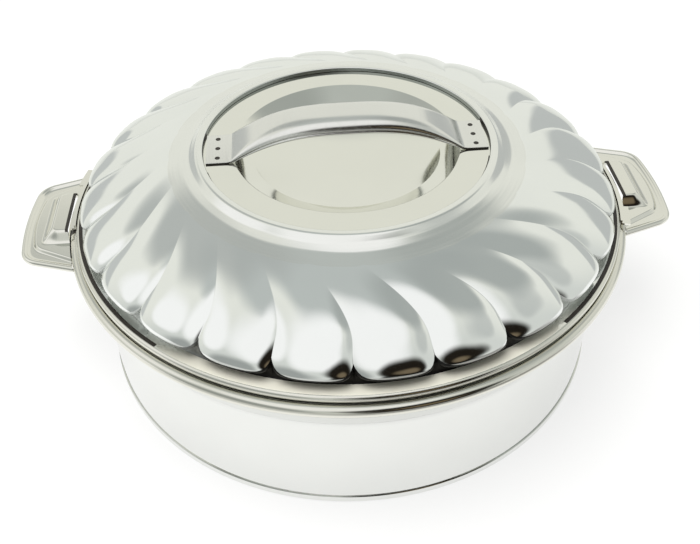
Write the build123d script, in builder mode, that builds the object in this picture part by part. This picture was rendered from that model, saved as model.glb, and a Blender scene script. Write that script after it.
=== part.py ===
from build123d import *
import os
from math import asin, atan2, cos, degrees, radians, sin, sqrt

# Insulated serving casserole with a twist-lock lid, in millimetres.
# +Z is up, the origin is the centre of the foot ring, and the two side handles lie along X.
# The right handle is at +X. Every pressed piece is drawn as the line of its outer face in a
# radius-height plane and gets its thickness on the hidden side. The wall's radius and the rim's
# height drive the other shells, so that a wider or taller pot keeps its fits and clearances.

os.makedirs("parts", exist_ok=True)

# ---- Sheet and clearances ----
sheet = 0.6                     # stainless sheet of the shells
handle_sheet = 0.8              # side handles
strap_sheet = 1.0               # lid handle strap
tab_sheet = 1.0                 # lock tabs
fit_gap = 0.3                   # running and fitting clearance
weld_gap = 0.1                  # between two pieces that are welded on curved faces

# ---- Body ----
wall_radius = 131.0             # outer face of the straight wall
foot_round = 1.4                # bend at the foot's outer edge
foot_width = 4.0                # flat ring that stands on the table
foot_band = 4.0                 # height of the band folded round the wall
base_recess = 1.6               # rise of the base plate inside the foot ring
foot_radius = wall_radius + sheet + weld_gap
bead_height = 75.9              # centre line of the rolled rim
bead_r = 2.9                    # the rim's own section radius
bead_end = -68.0                # angle where the rolled edge stops, under the rim
bead_radius = wall_radius + 7.6
bead_inner = bead_radius - bead_r
bead_outer = bead_radius + bead_r
flare_start = bead_height - 20.9  # height where the wall begins to flare to the rim

# ---- Inner pot ----
pot_floor = 14.0
pot_corner = 14.0
pot_radius = wall_radius - 9.5  # inside of the straight wall
ledge_height = bead_height - 4.4  # the seal rests on this ledge
ledge_radius = bead_inner - 6.2
shoulder_start = ledge_height - 9.5  # where the pot opens out to the ledge

# ---- Lid shell ----
curl_r = 1.9                    # the lid's rolled edge
curl_end = -115.0               # angle where the rolled edge stops, beside the liner
curl_radius = bead_inner + 0.25
curl_height = bead_height + bead_r + curl_r + 0.2
curl_outer = curl_radius + curl_r
flange_height = curl_height + curl_r
neck_radius = curl_radius - 6.45  # the groove between the flutes and the flange

# ---- Crown: its meridian is a quarter of a superellipse ----
crown_edge = 78.5               # where the fluted crown meets the raised ring
crown_rise = 24.5
crown_power = 1.6
crown_centre = crown_edge - 18.5
crown_reach = neck_radius + 3.5
crown_low = flange_height + 6.1
toe_r = 3.0                     # the petals round under to the neck with this radius
ring_inner = crown_edge - 8.0   # raised ring round the dish
ring_top = crown_low + crown_rise + 2.4
ring_bend = 0.9                 # how far the ring's sides stand in from its edges
ring_lap = 0.2                  # the ring's foot laps the crown by this
dish_rim = ring_top - 2.3       # height of the flat the strap is welded to
dish_radius = ring_inner - 14.0  # where the dish starts to fall
dish_floor_radius = dish_radius - 9.0
dish_floor = dish_rim - 4.1

# ---- Flutes: swirled petals pressed into the crown ----
flute_count = 24
flute_phase = -3.5              # angle of the first valley at the rim, from +X
flute_depth = 2.8               # at the rim
flute_start = crown_edge + 5.5  # radius where the flutes fade in
least_flute = 0.02              # keeps the petals' arcs apart above that radius
flute_levels = 10
swirl_rate = 0.02
swirl_power = 1.8
swirl_radius = crown_reach - 11.0  # inside this radius the valleys lean round

# ---- Lid liner ----
liner_shelf = ledge_height + 6.0  # presses on the seal
liner_wall = bead_inner - 1.1
spigot_radius = liner_wall - 7.1  # centres the lid in the pot
spigot_height = liner_shelf - 3.3
liner_edge_radius = pot_radius - 1.0
liner_edge = spigot_height - 6.7
liner_centre = liner_edge + 22.5
liner_brim = 3.0                # flat brim outside the liner's dome
liner_brim_rise = 0.4

# ---- Lid handle strap ----
strap_half_width = 12.2
strap_foot = dish_radius + 0.5  # inner end of the welded feet
strap_top = dish_rim + 18.9
strap_shoulder = (strap_foot - 12.0, dish_rim + 10.1)
strap_crown = (strap_foot - 32.0, dish_rim + 17.3)
strap_skirt = 5.4               # how far the long edges are turned down at mid span
strap_edge_r = 2.4
weld_radius = ring_inner - 7.2  # row of spot welds on each foot
weld_pitch = 8.2
weld_dot_r = 0.9
weld_dot_depth = 0.3

# ---- Side handles ----
handle_length = 24.2            # from the rim to the outer edge
handle_half = 39.8              # half of the width at the rim
handle_reach = bead_outer + handle_length
handle_corner = (handle_reach - 2.8, handle_half - 9.6)  # outer corner before rounding
handle_corner_r = 8.0
handle_root_gap = 0.3           # the plate stops this far from the rim
root_lap = 1.7                  # the outline runs on this far inside the rim, to be cut off
handle_root = (sqrt((bead_outer - root_lap) ** 2 - handle_half ** 2), handle_half)
rim_roll_r = 1.6                # rolled outer edge
panel_height = bead_height + 0.8  # raised panel
band_height = panel_height - 1.6  # sunken band inside the rolled edge
rim_roll_height = band_height - 0.3
panel_root = (bead_radius - 8.6, handle_half - 4.6)
panel_corner = (handle_reach - 9.2, handle_half - 18.9)
panel_corner_r = 4.0
panel_slope = 1.4               # run of the panel's sloped edge
hood_height = panel_height + 5.3  # raised pocket for the lock tab
hood_lip = bead_outer - 0.3     # straight inner edge of the pocket's roof
hood_foot_half = handle_half - 20.3
hood_top_half = hood_foot_half - 4.5
hood_foot_end = handle_reach - 11.0
hood_top_end = hood_foot_end - 6.0
hood_corner_r = 3.0
flange_half = handle_half - 10.8  # half width of the weld flange, inside the panel's width
flange_rise = panel_height - handle_sheet / 2  # the flange ends inside the panel's sheet
flange_knee = band_height - 5.6
flange_foot = (flare_start - 1.0, flare_start - 11.0)

# ---- Lock tabs on the lid ----
tongue_top = hood_height - 1.2
tongue_half_angle = 5.3         # the part of the tongue that clears the pocket's roof
tongue_clearance = 0.4
ear_start = -9.5                # the longer ear waits beside the pocket
ear_end = -15.2
ear_reach = hood_lip + 1.9
ear_gap = 0.4                   # between the ear and the pocket's end walls
tab_leg = 1.6                   # leg that is welded to the lid's rolled edge


def polar(radius, angle):
    return radius * cos(radians(angle)), radius * sin(radians(angle))


def turned_plane(angle):
    """Radius-height plane, turned about the vertical axis from +X."""
    return Plane(origin=(0, 0, 0), x_dir=(*polar(1, angle), 0), z_dir=(*polar(1, angle - 90), 0))


def around(centre, radius, angle):
    x, z = polar(radius, angle)
    return centre[0] + x, centre[1] + z


def bend(centre, radius, start, end):
    """Arc of a sheet's face about a centre, from one angle to another, in degrees."""
    middle = (start + end) / 2
    return ThreePointArc(*(around(centre, radius, angle) for angle in (start, middle, end)))


def crown_point(turn):
    """Crest radius and height of the crown, turn degrees round the superellipse."""
    share = 2 / crown_power
    radius = crown_centre + (crown_reach - crown_centre) * sin(radians(turn)) ** share
    height = crown_low + crown_rise * max(cos(radians(turn)), 0.0) ** share
    return radius, height


def crown_turn(radius):
    """Turn round the superellipse where the crest has this radius."""
    share = (radius - crown_centre) / (crown_reach - crown_centre)
    return degrees(asin(share ** (crown_power / 2)))


def crown_lean(turn):
    """Angle of the crown's face normal above the horizontal."""
    inner, outer = crown_point(turn - 0.5), crown_point(min(turn + 0.5, 90.0))
    return 90.0 - degrees(atan2(inner[1] - outer[1], outer[0] - inner[0]))


def fade(radius):
    return max(0.0, (radius - flute_start) / (crown_reach - flute_start)) ** 1.1


def swirl(radius):
    return -swirl_rate * max(0.0, swirl_radius - radius) ** swirl_power


def flute_section(inset):
    """Levels of the fluted crown from the raised ring down to the neck, set in by inset.

    Each level is (height, valley radius, crest radius, twist)."""
    levels = []
    start = crown_turn(crown_edge)
    for step in range(flute_levels):
        turn = start + (90.0 - start) * step / (flute_levels - 1)
        radius, height = crown_point(turn)
        lean = crown_lean(turn)
        depth = max(flute_depth * fade(radius) / cos(radians(lean)), least_flute)
        crest = radius - inset * cos(radians(lean))
        valley = crest - depth
        levels.append((height - inset * sin(radians(lean)), valley, crest, swirl(radius - depth)))
    for turn in (-40.0, -75.0):
        crest, height = around((crown_reach - toe_r, crown_low), toe_r, turn)
        depth = (crest - neck_radius) * flute_depth / (crown_reach - neck_radius)
        level = (height - inset * sin(radians(turn)), crest - depth - inset, crest - inset, 0.0)
        levels.append(level)
    return levels


def scalloped_level(height, valley, crest, twist):
    """One closed outline of the fluted crown: an arc for each petal between two valleys."""
    pitch = 360.0 / flute_count
    with BuildSketch(Plane.XY.offset(height)) as level:
        with BuildLine():
            for petal in range(flute_count):
                start = flute_phase + twist + petal * pitch
                ThreePointArc(polar(valley, start), polar(crest, start + pitch / 2),
                              polar(valley, start + pitch))
        make_face()
    return level.sketch


def fluted_form(inset, reach):
    """Solid crown up to the petals' face; reach lengthens its two ends to cut through."""
    levels = flute_section(inset)
    top, bottom = levels[0], levels[-1]
    if reach:
        levels.insert(0, (top[0] + reach, top[1] - reach, top[2] - reach, top[3]))
        levels.append((bottom[0] - reach, bottom[1], bottom[2], 0.0))
    with BuildPart() as form:
        for level in levels:
            add(scalloped_level(*level))
        loft(ruled=True)
    return form.part


# ---- Body pieces ----
with BuildPart() as base_plate:
    with BuildSketch(Plane.XZ):
        with BuildLine():
            foot_outer = foot_radius - foot_round
            foot_inner = foot_outer - foot_width
            Polyline((0, base_recess), (foot_inner - base_recess, base_recess), (foot_inner, 0),
                     (foot_outer, 0))
            bend((foot_outer, foot_round), foot_round, -90, 0)
            Line((foot_radius, foot_round), (foot_radius, foot_band))
            offset(amount=sheet, side=Side.LEFT, kind=Kind.INTERSECTION)
        make_face()
    revolve(axis=Axis.Z)
base_plate.part.label = "base_plate"
export_step(base_plate.part, "parts/base_plate.step")

with BuildPart() as outer_shell:
    with BuildSketch(Plane.XZ):
        with BuildLine():
            hem_radius = bead_radius - 2 * sheet
            hem_height = bead_height - bead_r
            half_way = ((wall_radius + hem_radius) / 2, (flare_start + hem_height) / 2)
            Line((wall_radius, foot_round + weld_gap), (wall_radius, flare_start))
            TangentArc((wall_radius, flare_start), half_way, tangent=(0, 1))
            TangentArc((hem_radius, hem_height), half_way, tangent=(0, -1))
            Line((hem_radius, hem_height), (hem_radius, bead_height))
            offset(amount=sheet, side=Side.LEFT, kind=Kind.INTERSECTION)
        make_face()
    revolve(axis=Axis.Z)
outer_shell.part.label = "outer_shell"
export_step(outer_shell.part, "parts/outer_shell.step")

with BuildPart() as inner_pot:
    with BuildSketch(Plane.XZ):
        with BuildLine():
            corner = pot_radius - pot_corner
            corner_centre = (corner, pot_floor + pot_corner)
            ledge_round = 2 * sheet
            Line((0, pot_floor), (corner, pot_floor))
            bend(corner_centre, pot_corner, -90, 0)
            Line((pot_radius, pot_floor + pot_corner), (pot_radius, shoulder_start))
            TangentArc((pot_radius, shoulder_start), (ledge_radius, ledge_height), tangent=(0, 1))
            Line((ledge_radius, ledge_height), (bead_inner - ledge_round, ledge_height))
            bend((bead_inner - ledge_round, ledge_height + ledge_round), ledge_round, -90, 0)
            Line((bead_inner, ledge_height + ledge_round), (bead_inner, bead_height))
            bend((bead_radius, bead_height), bead_r, 180, bead_end)
            offset(amount=sheet, side=Side.RIGHT, kind=Kind.INTERSECTION)
        make_face()
    revolve(axis=Axis.Z)
inner_pot.part.label = "inner_pot"
export_step(inner_pot.part, "parts/inner_pot.step")

with BuildPart() as body_foam:
    with BuildSketch(Plane.XZ):
        with BuildLine():
            back = sheet + fit_gap
            outside = wall_radius - back
            inside = pot_radius + back
            under_floor = pot_floor - back
            foam_foot = base_recess + back
            corner = pot_radius - pot_corner
            foam_top = (flare_start + ledge_height) / 2
            Polyline((0, under_floor), (0, foam_foot), (outside, foam_foot), (outside, foam_top),
                     (inside, foam_top), (inside, pot_floor + pot_corner))
            bend((corner, pot_floor + pot_corner), pot_corner + back, 0, -90)
            Line((corner, under_floor), (0, under_floor))
        make_face()
    revolve(axis=Axis.Z)
body_foam.part.label = "body_foam"
export_step(body_foam.part, "parts/body_foam.step")


# ---- Side handles ----
def plate_outline(root, corner, reach, corner_r):
    """Outline of a handle level: sides that close in to a bowed outer end, mirrored in X."""
    with BuildSketch() as outline:
        with BuildLine():
            Polyline((corner[0], -corner[1]), (root[0], -root[1]), root, corner)
            ThreePointArc(corner, (reach, 0), (corner[0], -corner[1]))
        make_face()
        fillet(outline.vertices().sort_by(Axis.X)[-2:], radius=corner_r)
    return outline.sketch


def pressed_form(drop):
    """Handle filled up to its top face, lowered by drop."""
    filled = panel_height - 2 * (panel_height - band_height) - 3 * handle_sheet
    bow = handle_reach - handle_corner[0]
    hood_width = 2 * hood_foot_half
    hood_top = 2 * hood_top_half
    hood_root = panel_root[0]
    with BuildPart() as form:
        with BuildSketch(Plane.XY.offset(filled)):
            add(plate_outline(handle_root, handle_corner, handle_reach, handle_corner_r))
            offset(amount=-rim_roll_r)
        extrude(amount=band_height - drop - filled)
        with BuildSketch(Plane.XY.offset(band_height - drop)):
            add(plate_outline(panel_root, panel_corner, panel_corner[0] + bow, panel_corner_r))
            offset(amount=panel_slope)
        with BuildSketch(Plane.XY.offset(panel_height - drop)):
            add(plate_outline(panel_root, panel_corner, panel_corner[0] + bow, panel_corner_r))
        loft(ruled=True)
        with BuildSketch(Plane.XY.offset(panel_height - drop)):
            with Locations((hood_root, 0)):
                RectangleRounded(2 * (hood_foot_end - hood_root), hood_width, hood_corner_r)
        with BuildSketch(Plane.XY.offset(hood_height - drop)):
            with Locations((hood_root, 0)):
                RectangleRounded(2 * (hood_top_end - hood_root), hood_top, hood_corner_r)
        loft(ruled=True)
    return form.part


with BuildPart() as right_handle:
    add(pressed_form(0))
    add(pressed_form(handle_sheet), mode=Mode.SUBTRACT)
    rim_line = offset(
        plate_outline(handle_root, handle_corner, handle_reach, handle_corner_r),
        amount=-rim_roll_r, mode=Mode.PRIVATE)
    rolled_edges = (Plane.XY.offset(rim_roll_height) * rim_line).edges().sort_by(Axis.X)[1:]
    rim_path = Wire(rolled_edges)
    with BuildSketch(Plane(origin=rim_path @ 0, z_dir=rim_path % 0)):
        Circle(rim_roll_r)
    sweep(path=rim_path)
    with BuildSketch(Plane.XY):
        Circle(bead_outer + handle_root_gap)
    extrude(amount=panel_height + sheet, mode=Mode.SUBTRACT)
    with BuildSketch(Plane.XY.offset(panel_height)):
        Circle(ear_reach + ear_gap)
    extrude(amount=hood_height - handle_sheet - panel_height, mode=Mode.SUBTRACT)
    with BuildSketch(Plane.XY.offset(panel_height)):
        with Locations((hood_lip, 0)):
            Rectangle(2 * hood_lip, 4 * hood_foot_half, align=(Align.MAX, Align.CENTER))
    extrude(amount=hood_height - panel_height, mode=Mode.SUBTRACT)
    half_turn = degrees(asin(flange_half / bead_outer))
    with BuildSketch(turned_plane(-half_turn)):
        with BuildLine():
            flange_top = bead_outer + 2 * handle_root_gap + handle_sheet
            flange_wall = wall_radius + weld_gap + handle_sheet
            Polyline((flange_top, flange_rise), (flange_top, flange_knee),
                     (flange_wall, flange_foot[0]), (flange_wall, flange_foot[1]))
            offset(amount=handle_sheet, side=Side.RIGHT, kind=Kind.INTERSECTION)
        make_face()
    revolve(axis=Axis.Z, revolution_arc=2 * half_turn)
right_handle.part.label = "right_handle"
export_step(right_handle.part, "parts/right_handle.step")

with BuildPart() as left_handle:
    add(right_handle.part, rotation=(0, 0, 180))
left_handle.part.label = "left_handle"
export_step(left_handle.part, "parts/left_handle.step")


# ---- Lid shells ----
with BuildPart() as lid_dome:
    add(fluted_form(0, 0))
    add(fluted_form(sheet, sheet + fit_gap), mode=Mode.SUBTRACT)
    with BuildSketch(Plane.XZ):
        with BuildLine():
            crown_start = crown_point(crown_turn(crown_edge))[1]
            ring_foot = (crown_edge + ring_lap, crown_start - sheet / 2)
            ring_side = (crown_edge - ring_bend, dish_rim + 2 * ring_lap)
            ring_lip = (ring_inner, dish_rim + fit_gap)
            lip_top = (ring_inner + fit_gap, ring_top - ring_bend)
            ring_crest = ((ring_side[0] + ring_inner) / 2, ring_top)
            Line(ring_lip, lip_top)
            ThreePointArc(lip_top, ring_crest, ring_side)
            Line(ring_side, ring_foot)
            offset(amount=sheet, side=Side.RIGHT, kind=Kind.INTERSECTION)
        make_face()
    revolve(axis=Axis.Z)
    with BuildSketch(Plane.XZ):
        with BuildLine():
            groove_r = 2 * sheet
            groove = (neck_radius + groove_r, flange_height + groove_r)
            Line((neck_radius, crown_low - toe_r + sheet), (neck_radius, groove[1]))
            bend(groove, groove_r, 180, 270)
            Line((groove[0], flange_height), (curl_radius, flange_height))
            bend((curl_radius, curl_height), curl_r, 90, curl_end)
            offset(amount=sheet, side=Side.RIGHT, kind=Kind.INTERSECTION)
        make_face()
    revolve(axis=Axis.Z)
lid_dome.part.label = "lid_dome"
export_step(lid_dome.part, "parts/lid_dome.step")

with BuildPart() as lid_dish:
    with BuildSketch(Plane.XZ):
        with BuildLine():
            Polyline((0, dish_floor), (dish_floor_radius, dish_floor), (dish_radius, dish_rim),
                     ((ring_inner + crown_edge) / 2, dish_rim))
            offset(amount=sheet, side=Side.RIGHT, kind=Kind.INTERSECTION)
        make_face()
    revolve(axis=Axis.Z)
lid_dish.part.label = "lid_dish"
export_step(lid_dish.part, "parts/lid_dish.step")

with BuildPart() as lid_liner:
    with BuildSketch(Plane.XZ):
        with BuildLine():
            liner_flange = flange_height - 2 * sheet - 2 * weld_gap
            inner_edge = (liner_edge_radius - liner_brim, liner_edge + liner_brim_rise)
            TangentArc((0, liner_centre), inner_edge, tangent=(1, 0))
            Polyline(inner_edge, (liner_edge_radius, liner_edge), (spigot_radius, spigot_height),
                     (spigot_radius, liner_shelf), (liner_wall, liner_shelf),
                     (liner_wall, liner_flange), (curl_radius, liner_flange))
            offset(amount=sheet, side=Side.LEFT, kind=Kind.INTERSECTION)
        make_face()
    revolve(axis=Axis.Z)
lid_liner.part.label = "lid_liner"
export_step(lid_liner.part, "parts/lid_liner.step")

with BuildPart() as lid_foam:
    with BuildSketch(Plane.XZ):
        with BuildLine():
            back = sheet + fit_gap
            under_flutes = [(level[1], level[0]) for level in flute_section(back + sheet)]
            foam_outer = neck_radius - back
            foam_shoulder = [point for point in under_flutes if point[0] < foam_outer - sheet]
            dish_under = dish_rim - back
            floor_under = dish_floor - back
            foam_bottom = liner_centre + back
            Polyline((0, foam_bottom), (0, floor_under), (dish_floor_radius, floor_under),
                     (dish_radius, dish_under - sheet),
                     ((ring_inner + crown_edge) / 2, dish_under - sheet), *foam_shoulder,
                     (foam_outer, crown_low), (foam_outer, liner_shelf + back),
                     (spigot_radius - back, liner_shelf + back),
                     (spigot_radius - back, spigot_height + back),
                     (liner_edge_radius - back, liner_edge + 2 * back),
                     (inner_edge[0], inner_edge[1] + back))
            TangentArc((0, foam_bottom), (inner_edge[0], inner_edge[1] + back), tangent=(1, 0))
        make_face()
    revolve(axis=Axis.Z)
lid_foam.part.label = "lid_foam"
export_step(lid_foam.part, "parts/lid_foam.step")

with BuildPart() as seal_ring:
    with BuildSketch(Plane.XZ):
        with BuildLine():
            seal_inner = spigot_radius + fit_gap
            seal_outer = liner_wall - sheet
            Polyline((seal_inner, ledge_height + fit_gap), (seal_outer, ledge_height + fit_gap),
                     (seal_outer, liner_shelf - fit_gap), (seal_inner, liner_shelf - fit_gap),
                     close=True)
        make_face()
        fillet(vertices(), radius=sheet)
    revolve(axis=Axis.Z)
seal_ring.part.label = "seal_ring"
export_step(seal_ring.part, "parts/seal_ring.step")


# ---- Lid handle ----
def arch(drop, skirt):
    """Line of the strap's face from foot to foot; skirt moves mid span down towards the edge."""
    foot = dish_rim + strap_sheet - drop
    top = strap_top - drop - skirt
    crown_z = strap_crown[1] - drop - skirt * 0.95
    shoulder_z = strap_shoulder[1] - drop - skirt * 0.75
    return Spline((-strap_foot, foot), (-strap_shoulder[0], shoulder_z),
                  (-strap_crown[0], crown_z), (0, top), (strap_crown[0], crown_z),
                  (strap_shoulder[0], shoulder_z), (strap_foot, foot))


def strap_form(half_width, drop, edge_r, bottom):
    """Arched bar as wide as the strap, closed below by the skirt line or by a flat bottom."""
    foot = dish_rim + strap_sheet - drop
    with BuildPart() as form:
        with BuildSketch(Plane.XZ):
            with BuildLine():
                arch(drop, 0)
                if bottom is None:
                    arch(drop + strap_sheet, strap_skirt)
                    Line((-strap_foot, foot), (-strap_foot, foot - strap_sheet))
                    Line((strap_foot, foot), (strap_foot, foot - strap_sheet))
                else:
                    Polyline((-strap_foot, foot), (-strap_foot, bottom), (strap_foot, bottom),
                             (strap_foot, foot))
            make_face()
        extrude(amount=half_width, both=True)
        long_edges = form.edges().filter_by(GeomType.BSPLINE)
        fillet(long_edges.group_by(Axis.Z)[-1], radius=edge_r)
    return form.part


with BuildPart() as lid_handle:
    add(strap_form(strap_half_width, 0, strap_edge_r, None))
    add(strap_form(strap_half_width - strap_sheet, strap_sheet, strap_edge_r - strap_sheet,
                   dish_floor), mode=Mode.SUBTRACT)
    with BuildSketch(Plane.XY.offset(dish_rim)):
        Circle(ring_inner - fit_gap)
        Rectangle(4 * ring_inner, 2 * strap_half_width, mode=Mode.INTERSECT)
        Rectangle(2 * strap_foot - 2 * strap_sheet, 3 * strap_half_width, mode=Mode.SUBTRACT)
    extrude(amount=strap_sheet)
    with Locations(*[(side * weld_radius, row * weld_pitch, dish_rim + strap_sheet)
                     for side in (-1, 1) for row in (-1, 0, 1)]):
        Hole(radius=weld_dot_r, depth=weld_dot_depth)
lid_handle.part.label = "lid_handle"
export_step(lid_handle.part, "parts/lid_handle.step")

# ---- Lock tabs ----
with BuildPart() as right_lock_tab:
    with BuildSketch(turned_plane(ear_end)):
        with BuildLine():
            root = curl_outer + weld_gap
            reach = hood_lip - tongue_clearance
            Polyline((root, tongue_top - tab_sheet), (reach, tongue_top - tab_sheet),
                     (reach, tongue_top), (root + tab_sheet, tongue_top),
                     (root + tab_sheet, tongue_top + tab_leg), (root, tongue_top + tab_leg),
                     close=True)
        make_face()
    revolve(axis=Axis.Z, revolution_arc=tongue_half_angle - ear_end)
    with BuildSketch(turned_plane(ear_end)):
        with Locations((root + tab_sheet, tongue_top)):
            Rectangle(ear_reach - root - tab_sheet, tab_sheet, align=(Align.MIN, Align.MAX))
    revolve(axis=Axis.Z, revolution_arc=ear_start - ear_end)
right_lock_tab.part.label = "right_lock_tab"
export_step(right_lock_tab.part, "parts/right_lock_tab.step")

with BuildPart() as left_lock_tab:
    add(right_lock_tab.part, rotation=(0, 0, 180))
left_lock_tab.part.label = "left_lock_tab"
export_step(left_lock_tab.part, "parts/left_lock_tab.step")
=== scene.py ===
# %% [markdown]
# # An insulated serving casserole in polished steel
# The real pot is pressed, spun and rolled from thin stainless sheet, with foam between its two
# walls. Everything that shows is a mirror, so its look is the look of what stands around it.
# The pieces are made as fine, smooth surfaces first, and the studio is then built to suit them.

# %% Load the frame
import math

import bpy
import numpy as np
from mathutils import Euler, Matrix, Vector


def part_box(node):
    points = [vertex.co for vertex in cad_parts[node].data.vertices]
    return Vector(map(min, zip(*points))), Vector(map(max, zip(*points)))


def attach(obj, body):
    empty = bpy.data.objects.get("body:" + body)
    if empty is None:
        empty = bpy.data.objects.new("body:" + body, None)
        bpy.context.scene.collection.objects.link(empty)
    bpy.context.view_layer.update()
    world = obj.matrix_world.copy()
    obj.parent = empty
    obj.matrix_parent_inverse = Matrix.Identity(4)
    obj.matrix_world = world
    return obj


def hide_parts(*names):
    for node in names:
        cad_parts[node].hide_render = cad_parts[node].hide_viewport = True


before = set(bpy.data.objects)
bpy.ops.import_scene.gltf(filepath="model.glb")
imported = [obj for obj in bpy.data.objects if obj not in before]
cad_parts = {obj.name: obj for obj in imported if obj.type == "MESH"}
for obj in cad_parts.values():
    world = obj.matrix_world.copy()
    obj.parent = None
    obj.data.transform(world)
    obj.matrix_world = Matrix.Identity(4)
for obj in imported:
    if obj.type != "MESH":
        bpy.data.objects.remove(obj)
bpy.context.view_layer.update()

# %% [markdown]
# ## Sizes
# A sheet-metal part is drawn by the line of its outer face, so the sizes below are radii and
# heights of such lines, in millimetres. The ones that the frame can give are read from its boxes.

# %% Sizes that the frame gives
MM = 0.001


def reach(node, axis):
    """How far a CAD node reaches along an axis, in millimetres."""
    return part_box(node)[1][axis] / MM


bead_outer = reach("inner_pot", 0)
curl_outer = reach("lid_dome", 0)
foot_radius = reach("base_plate", 0)
strap_top = reach("lid_handle", 2)
handle_reach = reach("right_handle", 0)
print("rim", round(bead_outer, 2), "lid edge", round(curl_outer, 2), "foot", round(foot_radius, 2))

# %% Sizes of the sheet and its bends
sheet = 0.6
handle_sheet = 0.8
strap_sheet = 1.0
bead_r = 2.9
bead_radius = bead_outer - bead_r
bead_height = 75.9
curl_r = 1.9
curl_radius = curl_outer - curl_r
curl_height = 80.9
flange_height = curl_height + curl_r
neck_radius = 129.5
wall_radius = 131.0
pot_radius = 121.5
pot_floor = 14.0
ledge_height = 71.5
dish_rim = 113.5
dish_floor = 109.4
ring_inner = 70.5
ring_top = 115.8

# %% [markdown]
# ## Drawing with bends
# Pressed sheet has no sharp corners. `soft_line` takes corner points, each with the radius of its
# bend, and puts an arc in every corner. `arc` gives a rolled edge. `thicken` offsets a line by the
# sheet's thickness and closes it, and `lathe` spins the closed outline about the pot's axis.

# %% Lines with bends
def arc(centre, radius, start, end, steps=14):
    """Points of an arc in the radius-height plane, angles in degrees."""
    turns = np.radians(np.linspace(start, end, steps))
    return [(centre[0] + radius * math.cos(t), centre[1] + radius * math.sin(t)) for t in turns]


def soft_line(corners, steps=7):
    """A polyline whose corners (radius, height, bend) are rounded by their bend."""
    line = [corners[0][:2]]
    for before, corner, after in zip(corners, corners[1:], corners[2:]):
        bend = corner[2] if len(corner) > 2 else 0.0
        here = np.array(corner[:2])
        back = np.array(before[:2]) - here
        ahead = np.array(after[:2]) - here
        back_length, ahead_length = np.linalg.norm(back), np.linalg.norm(ahead)
        back, ahead = back / back_length, ahead / ahead_length
        half = math.acos(max(-1.0, min(1.0, float(back @ ahead)))) / 2
        if bend == 0 or half > math.radians(89.5):
            line.append(tuple(here))
            continue
        run = min(bend / math.tan(half), 0.49 * back_length, 0.49 * ahead_length)
        bend = run * math.tan(half)
        middle = (back + ahead) / np.linalg.norm(back + ahead)
        centre = here + middle * bend / math.sin(half)
        first, last = here + back * run - centre, here + ahead * run - centre
        turn = math.atan2(first[0] * last[1] - first[1] * last[0], float(first @ last))
        for share in np.linspace(0, 1, steps):
            c, s = math.cos(turn * share), math.sin(turn * share)
            line.append((centre[0] + c * first[0] - s * first[1],
                         centre[1] + s * first[0] + c * first[1]))
    return line + [corners[-1][:2]]


def s_curve(start, end, steps=18):
    """A line that leaves start and reaches end upright, as a flared wall does."""
    shares = np.linspace(0, 1, steps)
    return [(start[0] + (end[0] - start[0]) * t * t * (3 - 2 * t),
             start[1] + (end[1] - start[1]) * t) for t in shares]


def thicken(line, thickness):
    """Closed outline of a sheet: the line, and back along its offset to the left of travel."""
    points = np.array(line)
    legs = np.diff(points, axis=0)
    legs /= np.linalg.norm(legs, axis=1)[:, None]
    sides = np.stack([-legs[:, 1], legs[:, 0]], axis=1)
    joined = np.vstack([sides[:1], sides[:-1] + sides[1:], sides[-1:]])
    joined /= np.linalg.norm(joined, axis=1)[:, None]
    mitre = np.einsum("ij,ij->i", joined, np.vstack([sides[:1], sides]))
    hidden = points + joined * (thickness / np.maximum(mitre, 0.4))[:, None]
    if points[0, 0] < 1e-6:
        hidden[0, 0] = 0.0
    return [tuple(p) for p in points] + [tuple(p) for p in hidden[::-1]]


# %% Meshes from rows of points
def finish_mesh(name, vertices, faces, sharp=32.0):
    """Mesh object in metres from millimetre points, smooth apart from its real edges."""
    mesh = bpy.data.meshes.new(name)
    mesh.from_pydata([tuple(c * MM for c in v) for v in vertices], [], faces)
    mesh.validate()
    mesh.shade_smooth()
    mesh.set_sharp_from_angle(angle=math.radians(sharp))
    piece = bpy.data.objects.new(name, mesh)
    bpy.context.scene.collection.objects.link(piece)
    print(name, len(mesh.vertices), "points", len(mesh.polygons), "faces")
    return piece


def lathe(name, outline, steps=240):
    """Spins a closed outline of (radius, height) points about the pot's axis."""
    turns = [2 * math.pi * i / steps for i in range(steps)]
    vertices, rings = [], []
    for radius, height in outline:
        if radius < 1e-6:
            rings.append([len(vertices)] * steps)
            vertices.append((0.0, 0.0, height))
        else:
            rings.append(list(range(len(vertices), len(vertices) + steps)))
            vertices += [(radius * math.cos(t), radius * math.sin(t), height) for t in turns]
    faces = []
    for ring, following in zip(rings, rings[1:] + rings[:1]):
        for i in range(steps):
            j = (i + 1) % steps
            corners = [ring[i], ring[j], following[j], following[i]]
            face = list(dict.fromkeys(corners))
            if len(face) > 2:
                faces.append(face)
    area = sum(a[0] * b[1] - b[0] * a[1] for a, b in zip(outline, outline[1:] + outline[:1]))
    if area <= 0:
        faces = [face[::-1] for face in faces]
    return finish_mesh(name, vertices, faces)


# %% [markdown]
# ## Materials
# The pot is austenitic stainless steel, buffed to a mirror on its outside and left satin inside.
# A buffed sheet still isn't a perfect mirror: it has slow waves from the press, hair-fine circles
# from the wheel, and a haze that comes and goes. Those three make it look like metal.

# %% Colour and nodes
def srgb(code):
    """Linear colour with alpha from an sRGB hex code."""
    parts = [int(code[i:i + 2], 16) / 255 for i in (1, 3, 5)]
    linear = [p / 12.92 if p <= 0.04045 else ((p + 0.055) / 1.055) ** 2.4 for p in parts]
    return (*linear, 1.0)


def add_node(tree, kind, inputs=None, **settings):
    """Adds a node. Settings go on the node, and inputs are values or other nodes' outputs."""
    node = tree.nodes.new(kind)
    for key, value in settings.items():
        setattr(node, key, value)
    for key, value in (inputs or {}).items():
        if isinstance(value, bpy.types.NodeSocket):
            tree.links.new(value, node.inputs[key])
        else:
            node.inputs[key].default_value = value
    return node


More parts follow.
